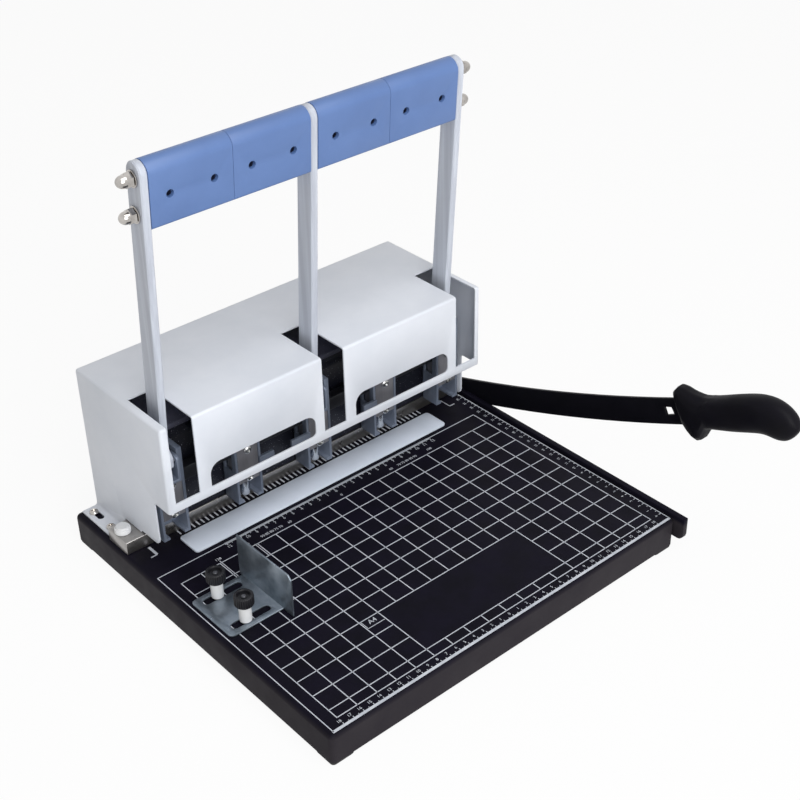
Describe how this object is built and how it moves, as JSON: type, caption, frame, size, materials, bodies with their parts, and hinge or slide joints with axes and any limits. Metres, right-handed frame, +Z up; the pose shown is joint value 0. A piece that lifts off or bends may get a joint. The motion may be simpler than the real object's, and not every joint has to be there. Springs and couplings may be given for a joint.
{
  "type": "archive punching machine",
  "caption": "Desk punching machine with a long lever on flat arms, sliding punch units under a hood, a ruled table, a side guide and a guillotine arm.",
  "frame": {"origin": "The centre of the punching pad's top face, on the face.", "axes": "+X to the operator's right along the row of punches, +Y from the operator to the back, +Z up."},
  "size_m": [0.4133, 0.4764, 0.404],
  "materials": {
    "black_coat": "satin black powder coat",
    "foot_rubber": "matt",
    "pad_plastic": "pale grey, fine grain",
    "hood_white": "white powder coat",
    "frame_black": "speckled black",
    "bracket_steel": "bluish dark",
    "arm_white": "white front, steel-grey sides",
    "grip_blue": "satin blue",
    "chrome": "polished",
    "bright_steel": "bright",
    "beam_black": "black oxide",
    "holder_steel": "olive grey",
    "ground_steel": "ground",
    "white_plastic": "white",
    "galvanised": "galvanised",
    "black_plastic": "satin black",
    "blade_black": "satin black"
  },
  "bodies": {
    "base": {"base_housing": "black_coat", "bracket_centre": "bracket_steel", "bracket_outer_left": "bracket_steel", "bracket_outer_right": "bracket_steel", "cutter_bed_bar": "ground_steel", "cutter_pivot_bolt": "bright_steel", "foot_front_left": "foot_rubber", "foot_front_right": "foot_rubber", "foot_rear_left": "foot_rubber", "foot_rear_right": "foot_rubber", "frame_front_plate": "frame_black", "frame_side_left": "frame_black", "frame_side_right": "frame_black", "frame_top_plate": "frame_black", "guide_stud_front": "white_plastic", "guide_stud_rear": "white_plastic", "hood_cover": "hood_white", "pivot_bolt_centre": "bright_steel", "pivot_bolt_outer_left": "bright_steel", "pivot_bolt_outer_right": "bright_steel", "punching_pad": "pad_plastic", "return_spring_left": "bright_steel", "return_spring_right": "bright_steel"},
    "lever": {"acorn_nut_lower_left": "chrome", "acorn_nut_lower_right": "chrome", "acorn_nut_upper_left": "chrome", "acorn_nut_upper_right": "chrome", "grip_1": "grip_blue", "grip_2": "grip_blue", "grip_3": "grip_blue", "grip_4": "grip_blue", "lever_arm_centre": "arm_white", "lever_arm_outer_left": "arm_white", "lever_arm_outer_right": "arm_white", "tie_rod_lower": "bright_steel", "tie_rod_upper": "bright_steel"},
    "press": {"holder_centre": "holder_steel", "holder_outer_left": "holder_steel", "holder_outer_right": "holder_steel", "press_beam": "beam_black", "punch_centre": "bright_steel", "yoke_centre": "beam_black", "yoke_outer_left": "beam_black", "yoke_outer_right": "beam_black"},
    "unit_left": {"bracket_left": "bracket_steel"},
    "unit_right": {"bracket_right": "bracket_steel"},
    "punch_set_left": {"holder_left": "holder_steel", "punch_left": "bright_steel"},
    "punch_set_right": {"holder_right": "holder_steel", "punch_right": "bright_steel"},
    "back_gauge": {"back_gauge_bar": "ground_steel"},
    "gauge_knob_left_turn": {"gauge_knob_left": "white_plastic"},
    "gauge_knob_right_turn": {"gauge_knob_right": "white_plastic"},
    "side_guide": {"side_guide": "galvanised"},
    "thumb_knob_front_turn": {"thumb_knob_front": "black_plastic"},
    "thumb_knob_rear_turn": {"thumb_knob_rear": "black_plastic"},
    "cutter_arm": {"cutter_blade": "blade_black", "cutter_handle": "black_plastic"}
  },
  "joints": [
    {"name": "lever_swing", "type": "hinge", "parent": "base", "child": "lever", "pos_m": [0, 0.011, 0.0857], "axis": [1, 0, 0], "range_deg": [0, 75], "stiffness_Nm_per_rad": 2, "springref_deg": -34.38},
    {"name": "press_slide", "type": "slide", "parent": "base", "child": "press", "axis": [0, 0, 1], "range_m": [-0.0142, 0], "deforming": ["return_spring_left", "return_spring_right"]},
    {"name": "unit_left_slide", "type": "slide", "parent": "base", "child": "unit_left", "axis": [1, 0, 0], "range_m": [-0.008, 0.008]},
    {"name": "unit_right_slide", "type": "slide", "parent": "base", "child": "unit_right", "axis": [1, 0, 0], "range_m": [-0.008, 0.008]},
    {"name": "punch_left_slide", "type": "slide", "parent": "press", "child": "punch_set_left", "axis": [1, 0, 0], "range_m": [-0.008, 0.008]},
    {"name": "punch_right_slide", "type": "slide", "parent": "press", "child": "punch_set_right", "axis": [1, 0, 0], "range_m": [-0.008, 0.008]},
    {"name": "back_gauge_slide", "type": "slide", "parent": "base", "child": "back_gauge", "axis": [0, -1, 0], "range_m": [0, 0.008]},
    {"name": "gauge_knob_left_spin", "type": "hinge", "parent": "back_gauge", "child": "gauge_knob_left_turn", "pos_m": [-0.186, 0.042, 0.011], "axis": [0, 0, 1], "continuous": true},
    {"name": "gauge_knob_right_spin", "type": "hinge", "parent": "back_gauge", "child": "gauge_knob_right_turn", "pos_m": [0.1892, 0.042, 0.011], "axis": [0, 0, 1], "continuous": true},
    {"name": "side_guide_slide", "type": "slide", "parent": "base", "child": "side_guide", "axis": [1, 0, 0], "range_m": [-0.02, 0.01]},
    {"name": "thumb_knob_front_spin", "type": "hinge", "parent": "base", "child": "thumb_knob_front_turn", "pos_m": [-0.167, -0.1135, 0.0164], "axis": [0, 0, 1], "continuous": true},
    {"name": "thumb_knob_rear_spin", "type": "hinge", "parent": "base", "child": "thumb_knob_rear_turn", "pos_m": [-0.167, -0.0735, 0.0164], "axis": [0, 0, 1], "continuous": true},
    {"name": "cutter_swing", "type": "hinge", "parent": "base", "child": "cutter_arm", "pos_m": [0.2046, 0.082, -0.0143], "axis": [-1, 0, 0], "range_deg": [-16.4, 45]}
  ],
  "couplings": [
    {"joint": "press_slide", "follows": "lever_swing", "m_per_rad": -0.010789},
    {"joint": "punch_left_slide", "follows": "unit_left_slide", "ratio": 1},
    {"joint": "punch_right_slide", "follows": "unit_right_slide", "ratio": 1}
  ]
}
